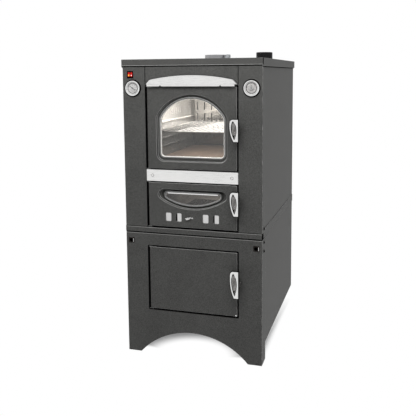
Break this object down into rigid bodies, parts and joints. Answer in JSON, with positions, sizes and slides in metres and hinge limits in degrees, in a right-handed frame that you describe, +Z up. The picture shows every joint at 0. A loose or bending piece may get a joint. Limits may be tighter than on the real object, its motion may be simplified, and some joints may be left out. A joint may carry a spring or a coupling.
{
  "type": "wood-fired oven",
  "caption": "Indirect wood-fired oven with a glazed baking door over a glazed firebox door, flue spigot and steam vent on top, on a sheet-metal storage cart with an arched base.",
  "frame": {"origin": "on the floor, at the centre of the footprint that the cover and the handles make", "axes": "+X to the right seen from the front, -Y towards the user, +Z up"},
  "size_m": [0.71, 0.999, 1.541],
  "materials": {
    "charcoal_paint": "textured matt",
    "zinc_plated": "plain sheet",
    "stainless": "brushed",
    "chrome": "polished",
    "door_glass": "clear",
    "black_plastic": "moulded",
    "dial_chrome": "polished",
    "red_plastic": "gloss",
    "black_enamel": "gloss",
    "tyre_rubber": "moulded",
    "seal_rope": "braided",
    "mineral_wool": "fibrous",
    "refractory": "fired clay",
    "cast_iron": "as cast",
    "black_steel": "heat-darkened",
    "motor_grey": "satin",
    "lamp_glass": "frosted"
  },
  "bodies": {
    "casing": {"cart_front": "charcoal_paint", "cart_sides": "charcoal_paint", "cart_back": "charcoal_paint", "cart_floor": "zinc_plated", "lifting_sockets": "black_plastic", "wheel_brackets": "zinc_plated", "base_tray": "charcoal_paint", "pilasters": "charcoal_paint", "top_fascia": "charcoal_paint", "top_cover": "charcoal_paint", "side_panels": "charcoal_paint", "rear_panel": "charcoal_paint", "face_frame": "black_steel", "valance": "stainless", "trim_band": "stainless", "screws": "stainless", "hinge_brackets": "charcoal_paint", "latch_keepers": "charcoal_paint", "baking_chamber": "stainless", "hearth_slabs": "refractory", "rack_guides": "zinc_plated", "wire_shelf": "chrome", "fan_cover": "stainless", "fan_motor": "motor_grey", "chamber_lamp": "lamp_glass", "smoke_jacket": "zinc_plated", "insulation": "mineral_wool", "flue_duct": "zinc_plated", "flue_collar": "stainless", "steam_pipe": "zinc_plated", "steam_vent_base": "black_enamel", "firebox_shell": "black_steel", "firebricks": "refractory", "fire_grate": "cast_iron", "ash_pan": "black_steel", "thermometer_body": "dial_chrome", "timer_body": "dial_chrome", "switch_bezel": "black_plastic", "power_inlet": "black_plastic"},
    "oven_door": {"oven_door_panel": "charcoal_paint", "oven_door_glass": "door_glass", "oven_door_liner": "stainless", "oven_door_gasket": "seal_rope"},
    "oven_latch": {"oven_door_handle": "chrome"},
    "firebox_door": {"firebox_door_panel": "charcoal_paint", "firebox_door_glass": "door_glass", "firebox_door_liner": "stainless"},
    "firebox_latch": {"firebox_door_handle": "chrome"},
    "air_shutter": {"air_slide": "stainless"},
    "storage_door": {"storage_door_panel": "charcoal_paint"},
    "storage_latch": {"storage_door_handle": "chrome"},
    "thermometer_pointer": {"thermometer_needle": "black_plastic"},
    "timer_dial": {"timer_knob": "black_plastic"},
    "left_rocker": {"rocker_left": "red_plastic"},
    "right_rocker": {"rocker_right": "red_plastic"},
    "damper": {"damper_plate": "chrome"},
    "vent_cap": {"steam_vent_cap": "black_enamel"},
    "fan": {"fan_impeller": "stainless"},
    "left_wheel": {"rear_wheel_left": "tyre_rubber"},
    "right_wheel": {"rear_wheel_right": "tyre_rubber"}
  },
  "joints": [
    {"name": "oven_door_hinge", "type": "hinge", "parent": "casing", "child": "oven_door", "pos_m": [-0.219, -0.4475, 1.15], "axis": [0, 0, -1], "range_deg": [0, 110]},
    {"name": "oven_latch_turn", "type": "hinge", "parent": "oven_door", "child": "oven_latch", "pos_m": [0.223, -0.4755, 1.15], "axis": [0, 0, 1], "range_deg": [0, 35]},
    {"name": "firebox_door_hinge", "type": "hinge", "parent": "casing", "child": "firebox_door", "pos_m": [-0.219, -0.4475, 0.8], "axis": [0, 0, -1], "range_deg": [0, 110]},
    {"name": "firebox_latch_turn", "type": "hinge", "parent": "firebox_door", "child": "firebox_latch", "pos_m": [0.223, -0.4755, 0.8], "axis": [0, 0, 1], "range_deg": [0, 35]},
    {"name": "storage_door_hinge", "type": "hinge", "parent": "casing", "child": "storage_door", "pos_m": [-0.219, -0.4475, 0.404], "axis": [0, 0, -1], "range_deg": [0, 110]},
    {"name": "storage_latch_turn", "type": "hinge", "parent": "storage_door", "child": "storage_latch", "pos_m": [0.223, -0.4755, 0.404], "axis": [0, 0, 1], "range_deg": [0, 35]},
    {"name": "air_shutter_slide", "type": "slide", "parent": "firebox_door", "child": "air_shutter", "axis": [1, 0, 0], "range_m": [-0.007, 0.02]},
    {"name": "thermometer_pointer_turn", "type": "hinge", "parent": "casing", "child": "thermometer_pointer", "pos_m": [-0.297, -0.4605, 1.35], "axis": [0, 1, 0], "range_deg": [0, 240]},
    {"name": "timer_dial_turn", "type": "hinge", "parent": "casing", "child": "timer_dial", "pos_m": [0.297, -0.4605, 1.35], "axis": [0, 1, 0], "range_deg": [0, 300]},
    {"name": "left_rocker_tip", "type": "hinge", "parent": "casing", "child": "left_rocker", "pos_m": [-0.31725, -0.4525, 1.4165], "axis": [1, 0, 0], "range_deg": [0, 14]},
    {"name": "right_rocker_tip", "type": "hinge", "parent": "casing", "child": "right_rocker", "pos_m": [-0.30375, -0.4525, 1.4165], "axis": [1, 0, 0], "range_deg": [0, 14]},
    {"name": "damper_swing", "type": "hinge", "parent": "casing", "child": "damper", "pos_m": [0.0755, -0.0355, 1.48], "axis": [0, 0, -1], "range_deg": [0, 90]},
    {"name": "vent_cap_turn", "type": "hinge", "parent": "casing", "child": "vent_cap", "pos_m": [0.207, 0.3045, 1.515], "axis": [0, 0, -1], "range_deg": [0, 45]},
    {"name": "fan_spin", "type": "hinge", "parent": "casing", "child": "fan", "pos_m": [0, 0.3095, 1.16], "axis": [0, 1, 0], "continuous": true},
    {"name": "left_wheel_roll", "type": "hinge", "parent": "casing", "child": "left_wheel", "pos_m": [-0.285, 0.4195, 0.042], "axis": [1, 0, 0], "continuous": true},
    {"name": "right_wheel_roll", "type": "hinge", "parent": "casing", "child": "right_wheel", "pos_m": [0.285, 0.4195, 0.042], "axis": [1, 0, 0], "continuous": true}
  ]
}
